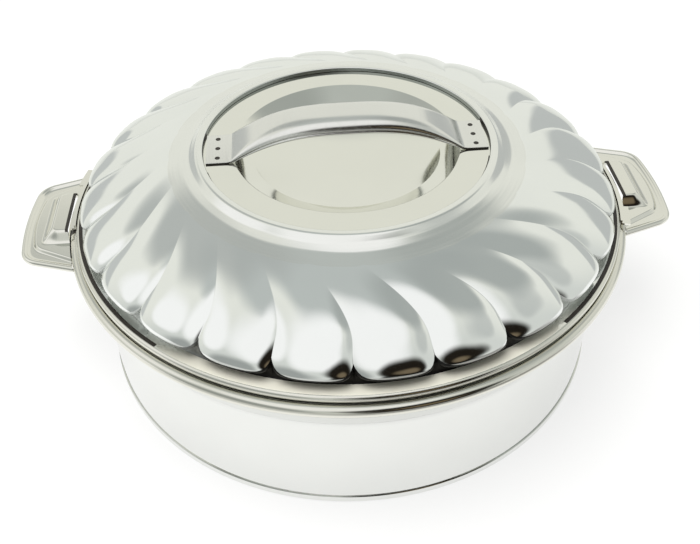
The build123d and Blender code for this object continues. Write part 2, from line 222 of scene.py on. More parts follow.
def new_material(name):
    """Empty node material and its tree, with an output node."""
    material = bpy.data.materials.new(name)
    material.use_nodes = True
    material.node_tree.nodes.clear()
    add_node(material.node_tree, "ShaderNodeOutputMaterial", name="Output")
    return material, material.node_tree


def put_out(tree, shader):
    tree.links.new(shader.outputs[0], tree.nodes["Output"].inputs["Surface"])


def per_metre(size_mm):
    """Texture scale at which one cell of a pattern is that many millimetres."""
    return 1.0 / (size_mm * MM)


# %% Polished stainless steel
def along_sheet(tree, place):
    """Distance from the pot's axis plus height, which changes steadily along any spun sheet."""
    flat = add_node(tree, "ShaderNodeVectorMath", {0: place, 1: (1, 1, 0)}, operation="MULTIPLY")
    radius = add_node(tree, "ShaderNodeVectorMath", {0: flat.outputs[0]}, operation="LENGTH")
    height = add_node(tree, "ShaderNodeSeparateXYZ", {0: place}).outputs["Z"]
    return add_node(tree, "ShaderNodeMath", {0: radius.outputs["Value"], 1: height},
                    operation="ADD").outputs[0]


def polished_steel(name, colour, haze, wave_mm=16.0, wave_depth_mm=0.012):
    """Buffed stainless sheet: press waves in the bump, circles and haze in the roughness."""
    material, tree = new_material(name)
    place = add_node(tree, "ShaderNodeTexCoord").outputs["Object"]
    # Buffing circles are about 0.05 mm apart. They are drawn 0.7 mm apart, so that they show.
    circles = add_node(tree, "ShaderNodeTexNoise",
                       {"W": along_sheet(tree, place), "Scale": per_metre(0.7), "Detail": 2.0},
                       noise_dimensions="1D")
    patches = add_node(tree, "ShaderNodeTexNoise",
                       {"Vector": place, "Scale": per_metre(38), "Detail": 3.0})
    mixed = add_node(tree, "ShaderNodeMath", {0: circles.outputs[0], 1: patches.outputs[0]},
                     operation="MULTIPLY")
    rough = add_node(tree, "ShaderNodeMapRange",
                     {"Value": mixed.outputs[0], "From Min": 0.12, "From Max": 0.42,
                      "To Min": haze * 0.7, "To Max": haze * 1.35})
    tone = add_node(tree, "ShaderNodeMixRGB",
                    {"Fac": patches.outputs[0], "Color1": srgb(colour),
                     "Color2": tuple(c * 0.94 for c in srgb(colour)[:3]) + (1.0,)})
    waves = add_node(tree, "ShaderNodeTexNoise",
                     {"Vector": place, "Scale": per_metre(wave_mm), "Detail": 1.0})
    bump = add_node(tree, "ShaderNodeBump",
                    {"Height": waves.outputs[0], "Strength": 1.0,
                     "Distance": wave_depth_mm * MM})
    steel = add_node(tree, "ShaderNodeBsdfPrincipled",
                     {"Base Color": tone.outputs[0], "Metallic": 1.0,
                      "Roughness": rough.outputs[0], "Normal": bump.outputs[0]})
    put_out(tree, steel)
    return material


# %% Satin stainless steel
def behind_line(tree, place, start_mm, run_mm):
    """0 in front of a line across the pot and 1 behind it, counted along the Y axis."""
    depth = add_node(tree, "ShaderNodeSeparateXYZ", {0: place}).outputs["Y"]
    return add_node(tree, "ShaderNodeMapRange",
                    {"Value": depth, "From Min": start_mm * MM,
                     "From Max": (start_mm + run_mm) * MM},
                    interpolation_type="SMOOTHSTEP").outputs[0]


def satin_steel(name, colour, rough, metallic=1.0, buffed_from_mm=None):
    """Sheet finished with a fine wheel and not buffed to a mirror, as inside the pot.

    With buffed_from_mm, the wheel has still caught what lies behind that place.
    """
    material, tree = new_material(name)
    place = add_node(tree, "ShaderNodeTexCoord").outputs["Object"]
    # The wheel's lines are 0.1 mm apart, drawn at 0.9 mm so that they show from arm's length.
    lines = add_node(tree, "ShaderNodeTexNoise",
                     {"W": along_sheet(tree, place), "Scale": per_metre(0.9), "Detail": 4.0},
                     noise_dimensions="1D")
    bump = add_node(tree, "ShaderNodeBump",
                    {"Height": lines.outputs[0], "Strength": 0.6, "Distance": 0.01 * MM})
    spread = add_node(tree, "ShaderNodeMapRange",
                      {"Value": lines.outputs[0], "To Min": rough * 0.7, "To Max": rough * 1.4})
    steel = add_node(tree, "ShaderNodeBsdfPrincipled",
                     {"Base Color": srgb(colour), "Metallic": metallic,
                      "Roughness": spread.outputs[0], "Normal": bump.outputs[0]})
    if buffed_from_mm is not None:
        mirror = add_node(tree, "ShaderNodeBsdfPrincipled",
                          {"Base Color": srgb("#E6E8E5"), "Metallic": 1.0, "Roughness": 0.10})
        buffed = behind_line(tree, place, buffed_from_mm, 30)
        steel = add_node(tree, "ShaderNodeMixShader", {0: buffed, 1: steel.outputs[0],
                                                       2: mirror.outputs[0]})
    put_out(tree, steel)
    return material


# %% [markdown]
# ## What isn't a mirror
# The seal is moulded silicone, which lets a little light in under a dull skin. The filling is
# poured foam with cells big enough to see. Spot welds keep their dark heat scale. The same dark
# material is painted shade in gaps and along edges, and the groove under the petals is painted near
# black as shade at the front.

# %% Silicone and foam
def silicone(name, colour):
    """Moulded food-grade silicone: soft, slightly cloudy, with a dull skin."""
    material, tree = new_material(name)
    place = add_node(tree, "ShaderNodeTexCoord").outputs["Object"]
    skin = add_node(tree, "ShaderNodeTexNoise",
                    {"Vector": place, "Scale": per_metre(1.5), "Detail": 3.0})
    bump = add_node(tree, "ShaderNodeBump",
                    {"Height": skin.outputs[0], "Strength": 0.3, "Distance": 0.05 * MM})
    tone = add_node(tree, "ShaderNodeMixRGB",
                    {"Fac": skin.outputs[0], "Color1": srgb(colour), "Color2": srgb("#C9C8C1")})
    rubber = add_node(tree, "ShaderNodeBsdfPrincipled",
                      {"Base Color": tone.outputs[0], "Roughness": 0.48, "IOR": 1.41,
                       "Subsurface Weight": 0.15, "Subsurface Radius": (0.002, 0.002, 0.0018),
                       "Normal": bump.outputs[0]})
    put_out(tree, rubber)
    return material


def rigid_foam(name, colour):
    """Poured polyurethane foam: closed cells about a millimetre across under a thin crust."""
    material, tree = new_material(name)
    place = add_node(tree, "ShaderNodeTexCoord").outputs["Object"]
    cells = add_node(tree, "ShaderNodeTexVoronoi", {"Vector": place, "Scale": per_metre(1.2)})
    bump = add_node(tree, "ShaderNodeBump",
                    {"Height": cells.outputs["Distance"], "Strength": 0.7,
                     "Distance": 0.3 * MM})
    tone = add_node(tree, "ShaderNodeMixRGB",
                    {"Fac": cells.outputs["Distance"], "Color1": srgb("#D8C68E"),
                     "Color2": srgb(colour)})
    foam = add_node(tree, "ShaderNodeBsdfPrincipled",
                    {"Base Color": tone.outputs[0], "Roughness": 0.9,
                     "Normal": bump.outputs[0]})
    put_out(tree, foam)
    return material


# %% Weld scale and painted shade
def dark_scale_and_shade(name, dark, light, patch_mm, metallic, shade_stops_from_mm=None):
    """Dark steel in patches of two tones: heat scale on spot welds, and painted shade elsewhere.

    Given a place along the Y axis last, the painted shade turns to plain steel behind it.
    """
    material, tree = new_material(name)
    place = add_node(tree, "ShaderNodeTexCoord").outputs["Object"]
    patches = add_node(tree, "ShaderNodeTexNoise",
                       {"Vector": place, "Scale": per_metre(patch_mm), "Detail": 4.0})
    tone = add_node(tree, "ShaderNodeMixRGB",
                    {"Fac": patches.outputs[0], "Color1": srgb(dark), "Color2": srgb(light)})
    rough = add_node(tree, "ShaderNodeMapRange",
                     {"Value": patches.outputs[0], "To Min": 0.3, "To Max": 0.55})
    if shade_stops_from_mm is not None:
        tone = add_node(tree, "ShaderNodeMixRGB",
                        {"Fac": behind_line(tree, place, shade_stops_from_mm, 22),
                         "Color1": tone.outputs[0], "Color2": srgb("#D3D6D3")})
    scale = add_node(tree, "ShaderNodeBsdfPrincipled",
                     {"Base Color": tone.outputs[0], "Metallic": metallic,
                      "Roughness": rough.outputs[0]})
    put_out(tree, scale)
    return material


# %% The pot's finishes
body_steel = polished_steel("buffed_stainless_body", "#ECEDEA", 0.07)
lid_steel = polished_steel("buffed_stainless_lid", "#F4F6F4", 0.075)
dish_steel = polished_steel("buffed_stainless_dish", "#ECECE4", 0.06)
handle_steel = polished_steel("buffed_stainless_handle", "#EBEAE2", 0.08, wave_mm=9.0)
strap_steel = polished_steel("scuffed_stainless_strap", "#EAEAE6", 0.19, wave_mm=9.0)
ring_steel = polished_steel("buffed_stainless_ring", "#F1F2EE", 0.16)
rim_steel = polished_steel("scuffed_stainless_rim", "#E6E5DC", 0.17)
inner_steel = satin_steel("satin_stainless_inside", "#D2D3D0", 0.26)
edge_steel = satin_steel("satin_stainless_edge", "#DEDBCD", 0.5, metallic=0.15,
                         buffed_from_mm=-120.0)
# The ring's inner lip is a darker grey than the other steel: painted shade.
lip_shade_steel = satin_steel("satin_stainless_lip_painted_shade", "#A3A8A5", 0.30)
seal_silicone = silicone("clear_silicone", "#E4E3DD")
wall_foam = rigid_foam("poured_polyurethane_foam", "#EFE3B6")
# Heat scale on the spot welds; elsewhere below, the same dark steel is painted shade.
weld_scale_and_shade_steel = dark_scale_and_shade("spot_weld_scale_and_painted_shade", "#0F0E0D", "#3A352F", 0.8, metallic=0.3)
# The groove under the petals is painted near black as shade, at the front of the lid only.
groove_shade_steel = dark_scale_and_shade("painted_shade_in_groove", "#070606", "#1B1916", 2.5, metallic=0.6,
                             shade_stops_from_mm=-116.0)
print("materials", len(bpy.data.materials))


def dress(piece, body, node, material):
    """Puts a piece on its body in place of its CAD node, with its material."""
    piece.data.materials.clear()
    piece.data.materials.append(material)
    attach(piece, body)
    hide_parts(node)


# %% [markdown]
# ## The body's shells
# The pot is two spun shells and a base. The inner pot's edge is rolled over the outer shell's
# upright edge, and that roll is the bright rim. The base is folded a few millimetres up round the
# wall, which shows as a thin band at the foot.

# %% Base plate
foot_round = 1.4
foot_width = 4.0
base_recess = 1.6
foot_edge = foot_radius - foot_round
foot_line = soft_line([(0, base_recess), (foot_edge - foot_width - base_recess, base_recess, 1.2),
                       (foot_edge - foot_width, 0, 0.8), (foot_edge, 0)])
foot_line += arc((foot_edge, foot_round), foot_round, -90, 0, 8)[1:]
foot_line += [(foot_radius, 3.6), (foot_radius - 0.12, 4.0)]
base_plate = lathe("base_plate_skin", thicken(foot_line, sheet))
dress(base_plate, "base", "base_plate", body_steel)

# %% Outer shell
flare_start = 55.0
hem_radius = bead_radius - 2 * sheet
hem_height = bead_height - bead_r
wall_line = [(wall_radius, 1.6), (wall_radius, 20.0), (wall_radius, 40.0)]
wall_line += s_curve((wall_radius, flare_start), (hem_radius, hem_height))
wall_line += [(hem_radius, bead_height)]
outer_shell = lathe("outer_shell_skin", thicken(wall_line, sheet))
dress(outer_shell, "base", "outer_shell", body_steel)

# %% Inner pot with its rolled rim
pot_corner = 14.0
shoulder_start = 62.0
shoulder_r = 9.64
bead_end = -68.0
bead_inner = bead_radius - bead_r
ledge_bend = 2 * sheet
pot_line = soft_line([(0, pot_floor), (pot_radius, pot_floor, pot_corner),
                      (pot_radius, shoulder_start)], steps=16)
pot_line += arc((pot_radius + shoulder_r, shoulder_start), shoulder_r, 180, 100, 14)[1:]
pot_line += arc((bead_inner - ledge_bend, ledge_height + ledge_bend), ledge_bend, -90, 0, 8)
pot_line += arc((bead_radius, bead_height), bead_r, 180, bead_end, 34)
inner_pot = lathe("inner_pot_skin", thicken(pot_line, -sheet))
dress(inner_pot, "base", "inner_pot", inner_steel)
rim_start = 70.0
pocket_half = 15.5
inner_pot.data.materials.append(rim_steel)
inner_pot.data.materials.append(weld_scale_and_shade_steel)
for face in inner_pot.data.polygons:
    if face.center.z > rim_start * MM:
        # Inside the two pockets, which the handles' hoods cover, the rim gets the dark steel as
        # painted shade.
        in_pocket = abs(face.center.y) < pocket_half * MM
        face.material_index = 2 if in_pocket else 1
print("rim faces", sum(face.material_index > 0 for face in inner_pot.data.polygons))

# %% Body foam and seal
body_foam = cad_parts["body_foam"].data
body_foam.materials.clear()
body_foam.materials.append(wall_foam)
seal_low, seal_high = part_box("seal_ring")
seal_outer = seal_high.x / MM
seal_width = 6.2
seal_corners = [(seal_outer - seal_width, seal_low.z / MM), (seal_outer, seal_low.z / MM),
                (seal_outer, seal_high.z / MM), (seal_outer - seal_width, seal_high.z / MM)]
seal_start = ((seal_corners[0][0] + seal_corners[1][0]) / 2, seal_corners[0][1])
seal_line = soft_line([seal_start, (*seal_corners[1], 1.2), (*seal_corners[2], 1.2),
                       (*seal_corners[3], 1.2), (*seal_corners[0], 1.2), seal_start])[:-1]
seal_ring = lathe("seal_ring_skin", seal_line)
dress(seal_ring, "seal", "seal_ring", seal_silicone)

# %% [markdown]
# ## The lid's crown
# The crown has 24 pressed petals that fade in below the raised ring, lean round as they go out and
# end in rounded toes over a narrow neck. It is a grid: each row runs right round the lid, and the
# columns follow the valleys, so a crease is always a line of edges. A petal rises gently from the
# valley on one side and drops steeply to the one on the other, so that the petals seem to overlap
# like scales. The valleys leave the dome a little higher than the crests do, which rounds the toes.

# %% Crown formulas
petal_count = 24
first_valley = -3.5
petal_steps = 20
petal_crest = 0.47
petal_depth = 2.8
fade_radius = 84.0
fade_power = 1.35
crown_centre = 60.0
crown_reach = 134.5
crown_low = 88.9
crown_rise = 24.5
crown_power = 1.6
crown_start = 25.0
valley_turn = 72.0
toe_r = 1.4
swirl_radius = 122.0
swirl_rate = 0.02
swirl_power = 1.8


def ease(share):
    share = np.clip(share, 0, 1)
    return share * share * (3 - 2 * share)


def crown_point(turn):
    """Crest radius and height, turn degrees round the crown's superellipse."""
    share = 2 / crown_power
    out = np.sin(np.radians(turn)) ** share
    up = np.maximum(np.cos(np.radians(turn)), 0.0) ** share
    return crown_centre + (crown_reach - crown_centre) * out, crown_low + crown_rise * up


def crown_normal(turn):
    """Outward and upward parts of the crown's face normal."""
    inner, high = crown_point(turn - 0.4)
    outer, low = crown_point(np.minimum(turn + 0.4, 90))
    length = np.hypot(outer - inner, high - low)
    return (high - low) / length, (outer - inner) / length


def swirl(radius):
    return -swirl_rate * np.maximum(0.0, swirl_radius - radius) ** swirl_power


def petal_columns():
    """Angle of each column, its distance from the crest (1 in a valley), and its side."""
    steps = np.arange(petal_count * petal_steps)
    place = (1 - np.cos(math.pi * (steps % petal_steps) / petal_steps)) / 2
    angle = first_valley + (steps // petal_steps + place) * 360 / petal_count
    early = place < petal_crest
    side = np.where(early, 1 - place / petal_crest, (place - petal_crest) / (1 - petal_crest))
    return angle, side, early


# %% Crown mesh
def lid_edge_line():
    """Groove, flange and rolled edge below the toes."""
    groove_r = 1.2
    line = arc((neck_radius + groove_r, flange_height + groove_r), groove_r, 180, 270, 7)
    line += [(curl_radius - 3.8, flange_height), (curl_radius - 1.6, flange_height)]
    return line + arc((curl_radius, curl_height), curl_r, 90, -115, 24)


def crown_grid():
    """Points of the crown's face as (rows, columns, 3), and the material of each strip of faces."""
    angle, side, early = petal_columns()
    flat = np.ones_like(angle)
    toe = np.where(early, side ** 4, side ** 7)
    soft_sink = side ** 2 * (3 - 2 * side)
    crisp_sink = np.where(early, side ** 2.2, side ** 4)
    ring = soft_line([(ring_inner, dish_rim + 0.2), (ring_inner + 0.25, ring_top - 0.15, 0.7),
                      (ring_inner + 3.7, ring_top + 0.2, 2.8), (77.2, 113.4, 6.0),
                      (81.2, 111.6, 10.0), crown_point(crown_start)], steps=9)
    rows = [(r * flat, z * flat, swirl(fade_radius)) for r, z in ring[:-1]]
    for share in 1 - (1 - np.linspace(0, 1, 62)) ** 1.2:
        turn = crown_start + (90 - (90 - valley_turn) * toe - crown_start) * share
        radius, height = crown_point(turn)
        out, up = crown_normal(turn)
        grown = np.maximum(0.0, (radius - fade_radius) / (crown_reach - fade_radius))
        sink = soft_sink + (crisp_sink - soft_sink) * np.minimum(1.6 * grown, 1.0)
        depth = petal_depth * grown ** fade_power * sink
        rows.append((radius - out * depth, height - up * depth, swirl(radius)))
    edge_r, edge_z, _ = rows[-1]
    strips = ["lid"] * (len(rows) - 1)
    for turn in np.radians(np.linspace(15, 100, 7)):
        across, down = math.cos(turn) - 1, math.sin(turn)
        rows.append((edge_r + toe_r * (across * out + down * up),
                     edge_z + toe_r * (across * up - down * out), 0.0))
    strips[-2:] = ["neck"] * 2
    strips += ["neck"] * 7
    under_r, under_z, _ = rows[-1]
    neck = np.minimum(neck_radius, under_r - 0.9)
    rows += [(neck + 0.6, under_z - 0.1, 0.0), (neck, under_z - 0.7, 0.0)]
    edge = lid_edge_line()
    rows += [(r * flat, z * flat, 0.0) for r, z in edge]
    strips = ["lip"] * 4 + ["ring"] * (len(ring) - 3) + strips[len(ring) + 1:]
    strips += ["neck"] * 8 + ["flange"] * 3 + ["fold"] * 2 + ["curl"] * (len(edge) - 11)
    turns = [np.radians(angle + twist) for _, _, twist in rows]
    grid = [np.stack([r * np.cos(t), r * np.sin(t), z], axis=1)
            for (r, z, _), t in zip(rows, turns)]
    return np.array(grid), strips


def grid_normals(grid, around):
    """Unit normals of a grid of points, which closes on itself along its columns if around."""
    down = np.gradient(grid, axis=0)
    if around:
        across = (np.roll(grid, -1, axis=1) - np.roll(grid, 1, axis=1)) / 2
    else:
        across = np.gradient(grid, axis=1)
    normals = np.cross(down, across)
    return normals / np.maximum(np.linalg.norm(normals, axis=2, keepdims=True), 1e-12)


def shell_from_grid(name, grid, thickness, sharp, around=False, flip=False):
    """Closed sheet from the grid of its outer face and the same grid set in by the thickness."""
    rows, columns = grid.shape[:2]
    normals = grid_normals(grid, around) * (-1 if flip else 1)
    inner = grid - normals * thickness
    vertices = np.concatenate([grid.reshape(-1, 3), inner.reshape(-1, 3)])
    count = rows * columns
    last = columns if around else columns - 1
    faces = []
    for i in range(rows - 1):
        for j in range(last):
            k = (j + 1) % columns
            a, b = i * columns + j, i * columns + k
            c, d = b + columns, a + columns
            faces.append((a, d, c, b))
            faces.append((a + count, b + count, c + count, d + count))
    for j in range(last):
        k = (j + 1) % columns
        top, low = 0, (rows - 1) * columns
        faces.append((top + j, top + k, top + k + count, top + j + count))
        faces.append((low + k, low + j, low + j + count, low + k + count))
    if not around:
        for i in range(rows - 1):
            a, b = i * columns, (i + 1) * columns
            faces.append((b, a, a + count, b + count))
            a, b = a + columns - 1, b + columns - 1
            faces.append((a, b, b + count, a + count))
    if flip:
        faces = [face[::-1] for face in faces]
    return finish_mesh(name, vertices.tolist(), faces, sharp)


crown, strips = crown_grid()
lid_dome = shell_from_grid("lid_dome_skin", crown, sheet, sharp=50.0, around=True)
dress(lid_dome, "lid", "lid_dome", lid_steel)
# The scale finish is the dark weld-scale steel, used on the lid as painted shade.
finishes = {"lid": lid_steel, "neck": groove_shade_steel, "flange": edge_steel, "lip": lip_shade_steel,
            "ring": ring_steel, "curl": rim_steel, "scale": weld_scale_and_shade_steel}
for material in list(finishes.values())[1:]:
    lid_dome.data.materials.append(material)
faces_per_strip = 2 * crown.shape[1]
satin_half_turn = 41.0
foot_shadow = 13.5


def finish_of(face):
    """Finish of a face of the lid, from its strip and from where round the lid it lies."""
    kind = strips[face.index // faces_per_strip]
    # The lip beside the strap's feet gets the scale finish as their painted shadow.
    if kind == "lip" and abs(face.center.y) < foot_shadow * MM:
        return "scale"
    # The fold is satin at the front and gets the scale finish at the sides as a painted shade line.
    if kind == "fold":
        bearing = math.degrees(math.atan2(face.center.x, -face.center.y))
        return "flange" if abs(bearing + 1) < satin_half_turn else "scale"
    return kind


for face in lid_dome.data.polygons[:faces_per_strip * len(strips)]:
    face.material_index = list(finishes).index(finish_of(face))
print("strips of the lid", len(strips), "rows", len(crown))

# %% [markdown]
# ## The dish, the foam under it and the liner
# The sunken centre is a separate spun disc whose rim tucks under the raised ring. Its floor is a
# very shallow bowl: a flat mirror would show one hard picture of the strap, and a hollow one
# spreads the light of the room over it. The liner is the lid's inside: a spigot centres it in the
# pot and a flat shelf presses on the seal. Foam fills what lies between.

# %% Dish
bowl_r = 185.0
bowl_edge = 46.5
bowl_lean = math.degrees(math.asin(bowl_edge / bowl_r))
bowl_top = dish_floor + bowl_r * math.cos(math.radians(bowl_lean))
bowl = arc((0, bowl_top), bowl_r, -90, bowl_lean - 90, 24)
seam_start, seam_end, seam_front = 70.0, 70.7, -18.0
dish_line = bowl[:-1] + soft_line([bowl[-2], (*bowl[-1], 1.6), (56.0, dish_rim, 1.4),
                                   (seam_start, dish_rim), (seam_end, dish_rim),
                                   (74.4, dish_rim)], steps=9)[1:]
lid_dish = lathe("lid_dish_skin", thicken(dish_line, -sheet))
dress(lid_dish, "lid", "lid_dish", dish_steel)
# The seam between the dish and the ring gets the dark weld-scale steel on its front side.
lid_dish.data.materials.append(weld_scale_and_shade_steel)
for face in lid_dish.data.polygons:
    radius = math.hypot(face.center.x, face.center.y) / MM
    if seam_start < radius < seam_end and face.center.y < seam_front * MM:
        face.material_index = 1
print("dish is", round(dish_rim - bowl[0][1], 1), "mm deep")


# %% Liner
liner_shelf = 77.5
liner_wall = 134.6
liner_flange = flange_height - 2 * sheet - 0.2
ceiling_r = 323.4
ceiling_edge = 117.5
ceiling_top = 90.0
edge_turn = 90 - math.degrees(math.asin(ceiling_edge / ceiling_r))
liner_line = arc((0, ceiling_top - ceiling_r), ceiling_r, 90, edge_turn, 30)
liner_line += soft_line([liner_line[-1], (120.5, 67.5, 1.4), (127.5, 74.2, 1.2),
                         (127.5, liner_shelf, 0.9), (liner_wall, liner_shelf, 0.9),
                         (liner_wall, liner_flange, 0.7), (curl_radius - 0.2, liner_flange)])[1:]
lid_liner = lathe("lid_liner_skin", thicken(liner_line, sheet))
dress(lid_liner, "lid", "lid_liner", inner_steel)

# %% Lid foam
foam_gap = 0.9
foam_edge = 124.6
under_crown = [crown_point(turn) for turn in np.linspace(crown_start, 70, 9)]
foam_line = [(r, z - sheet - foam_gap) for r, z in dish_line[:-1]]
foam_line += [(74.0, foam_line[-1][1])] + [(r - 3.2, z - 4.6) for r, z in under_crown]
foam_line += [(foam_edge, crown_low - foam_gap), (foam_edge, liner_shelf + 1.5), (121.0, 72.6)]
foam_line += arc((0, ceiling_top - ceiling_r), ceiling_r + sheet + foam_gap, edge_turn, 90, 16)
lid_foam = lathe("lid_foam_skin", [(max(r, 0.0), z) for r, z in foam_line])
dress(lid_foam, "lid", "lid_foam", wall_foam)

# %% [markdown]
# ## The strap
# The lid's handle is one strip of sheet: its long edges are turned down into a skirt with a small
# hem, its middle is arched up, and its two ends are flat feet that are spot welded to the dish.
# Along the strap, the section changes smoothly from a plain plate to the full channel.

# %% Strap
strap_half = 12.2
strap_foot = 57.0
foot_top = dish_rim + strap_sheet
strap_rise = strap_top - foot_top - 0.03
strap_skirt = 6.4
strap_bend = 4.8
strap_shoulder = 8.0
foot_bend = 0.8
foot_end = ring_inner - 0.6


def strap_section(fullness):
    """Half of the strap's section, as (across, drop); fullness runs from plate to channel."""
    drop = strap_sheet + 0.05 + (strap_skirt - strap_sheet) * fullness
    bend = 0.3 + (strap_bend - 0.3) * fullness
    run = 0.3 + (strap_shoulder - 0.3) * fullness
    hem = 0.55 * fullness
    edge = strap_half - hem
    half = [(edge - run, 0.0)]
    half += [(edge - run + run * math.sin(t), bend - bend * math.cos(t))
             for t in np.radians(np.linspace(7.5, 90, 12))]
    hem_top = max(drop - 1.5 * fullness - 0.02, bend + 0.01)
    half += [(edge + hem * math.sin(t), hem_top + (drop - hem_top) * t / math.pi)
             for t in np.linspace(0.1, math.pi, 8)]
    inside = strap_half - strap_sheet - hem
    inner_bend = max(bend - strap_sheet, 0.1)
    half += [(inside, drop), (inside, strap_sheet + inner_bend),
             (inside - inner_bend * 0.3, strap_sheet + inner_bend * 0.3),
             (inside - inner_bend, strap_sheet)]
    return half


def strap_grid():
    """Closed sections from one end of the strap to the other, as (rows, columns, 3)."""
    spans = np.linspace(1, 0, 9)
    sections = [("foot", -1, share) for share in spans]
    sections += [("arch", x, 0.0) for x in np.linspace(-strap_foot, strap_foot, 121)[1:-1]]
    sections += [("foot", 1, share) for share in spans[::-1]]
    grid = []
    for kind, where, share in sections:
        x_middle = where if kind == "arch" else where * strap_foot
        fullness = 1 - abs(x_middle / strap_foot) ** 5 if kind == "arch" else 0.0
        half = strap_section(max(fullness, 0.0))
        section = half + [(-v, drop) for v, drop in half[::-1]]
        row = []
        for v, drop in section:
            x = x_middle
            if kind == "foot":
                end = math.sqrt(foot_end ** 2 - v ** 2)
                x = where * (strap_foot + (end - strap_foot) * share)
            lift = strap_rise * (1 - abs(x / strap_foot) ** 3)
            z = foot_top + (lift + math.hypot(lift, foot_bend)) / 2
            row.append((x, v, z - drop))
        grid.append(row)
    return np.array(grid)


def tube_from_rows(name, grid, sharp):
    """Closed solid from closed sections, with a cap at each end."""
    rows, columns = grid.shape[:2]
    faces = []
    for i in range(rows - 1):
        for j in range(columns):
            k = (j + 1) % columns
            faces.append((i * columns + j, i * columns + k,
                          (i + 1) * columns + k, (i + 1) * columns + j))
    faces.append(tuple(range(columns))[::-1])
    faces.append(tuple((rows - 1) * columns + j for j in range(columns)))
    return finish_mesh(name, grid.reshape(-1, 3).tolist(), faces, sharp)


strap = tube_from_rows("lid_handle_skin", strap_grid(), sharp=40.0)
dress(strap, "lid", "lid_handle", strap_steel)
strap.data.materials.append(weld_scale_and_shade_steel)
# The sides of the feet, down by the dish, get the dark weld-scale steel as painted shadow.
foot_side = (strap_half - 0.25) * MM
for face in strap.data.polygons:
    on_foot = abs(face.center.x) > (strap_foot - 1) * MM
    if on_foot and abs(face.center.y) > foot_side and face.center.z < (foot_top - 0.3) * MM:
        face.material_index = 1
print("dark faces under the feet", sum(face.material_index for face in strap.data.polygons))

# %% Spot welds
weld_radius = 63.3
weld_pitch = 8.2
weld_r = 1.2


def weld_dot(name, x, y):
    """Shallow burnt crater with a raised lip."""
    line = [(0, 0.07), (weld_r * 0.55, 0.08), (weld_r * 0.8, 0.17), (weld_r, 0.14),
            (weld_r * 1.15, -0.05), (weld_r * 1.15, -0.25), (0, -0.25)]
    dot = lathe(name, line, steps=20)
    dot.data.materials.append(weld_scale_and_shade_steel)
    dot.location = Vector((x, y, foot_top)) * MM
    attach(dot, "lid")


for side, label in ((-1, "left"), (1, "right")):
    for row in (-1, 0, 1):
        weld_dot(f"weld_{label}_{row + 2}", side * weld_radius, row * weld_pitch)

# %% [markdown]
# ## Side handles
# Each handle is a pressed plate. Its height is a function of place: a rolled outer edge, a sunken
# band, a raised panel and a hood that makes the pocket for the lid's tab. Distances to each
# outline give smooth walls between the levels, as a press tool leaves them.

# %% Outlines and distances
def plate_outline(root, corner, end, corner_r, steps=24):
    """Open outline from one side of the root round the bowed end to the other."""
    def bowed(y):
        return end - (end - corner[0]) * (y / corner[1]) ** 2

    run = corner_r * 0.95
    side = np.array([corner[0] - root[0], corner[1] - root[1]])
    side /= np.linalg.norm(side)
    before = np.array(corner) - side * run
    after_y = corner[1] - run
    after = np.array([bowed(after_y), after_y])
    shares = np.linspace(0, 1, steps)[:, None]
    bend = (1 - shares) ** 2 * before + 2 * shares * (1 - shares) * np.array(corner)
    bend = bend + shares ** 2 * after
    middle = np.array([(bowed(y), y) for y in np.linspace(after_y, -after_y, 3 * steps)])
    upper = np.vstack([[root], bend, middle[1:-1]])
    lower = bend[::-1] * (1, -1)
    return np.vstack([upper, lower, [(root[0], -root[1])]])[::-1]


def resample(line, count):
    """Evenly spaced points along a line."""
    steps = np.concatenate([[0], np.cumsum(np.linalg.norm(np.diff(line, axis=0), axis=1))])
    where = np.linspace(0, steps[-1], count)
    return np.stack([np.interp(where, steps, line[:, axis]) for axis in (0, 1)], axis=1)


def depth_inside(points, outline):
    """Distance of each point to a closed outline, positive inside it."""
    start, end = outline, np.roll(outline, -1, axis=0)
    leg = end - start
    offset = points[:, None, :] - start[None, :, :]
    share = np.einsum("ijk,jk->ij", offset, leg) / np.maximum((leg ** 2).sum(1), 1e-12)
    nearest = offset - np.clip(share, 0, 1)[..., None] * leg[None]
    distance = np.sqrt((nearest ** 2).sum(2)).min(1)
    above = (start[None, :, 1] > points[:, None, 1]) != (end[None, :, 1] > points[:, None, 1])
    slope = leg[:, 0] / np.where(np.abs(leg[:, 1]) < 1e-12, 1e-12, leg[:, 1])
    crossing = start[None, :, 0] + (points[:, None, 1] - start[None, :, 1]) * slope[None]
    inside = (above & (points[:, None, 0] < crossing)).sum(1) % 2 == 1
    return np.where(inside, distance, -distance)


# %% Handle sizes
roll_r = 1.6
roll_height = 74.8
band_height = 75.1
panel_height = 76.7
panel_slope = 1.8
hood_height = 82.0
hood_foot_half, hood_foot_end = 19.5, 154.7
hood_top_half, hood_top_end = 15.0, 148.7
hood_corner_r = 3.4
hood_lip = 141.2
root_radius = bead_outer + 0.35
handle_line = plate_outline((134.0, 39.8), (162.9, 30.2), handle_reach, 8.0)
panel_line = plate_outline((130.0, 35.2), (156.5, 20.9), 159.3, 4.0)
print("handle outline", len(handle_line), "points")


def hood_outline(half, end):
    """Outline of the hood at one level, which runs on under the lid."""
    return plate_outline((120.0, half), (end, half), end, hood_corner_r, steps=8)


def pressed_height(points):
    """Height of the plate's upper face at each point."""
    panel = ease(depth_inside(points, panel_line) / panel_slope + 1)
    foot = np.maximum(depth_inside(points, hood_outline(hood_foot_half, hood_foot_end)), 0)
    top = np.maximum(-depth_inside(points, hood_outline(hood_top_half, hood_top_end)), 0)
    rise = foot / np.maximum(foot + top, 1e-6)
    rise = 0.45 * rise + 0.55 * ease(rise)
    return band_height + (panel_height - band_height) * panel + (hood_height - panel_height) * rise


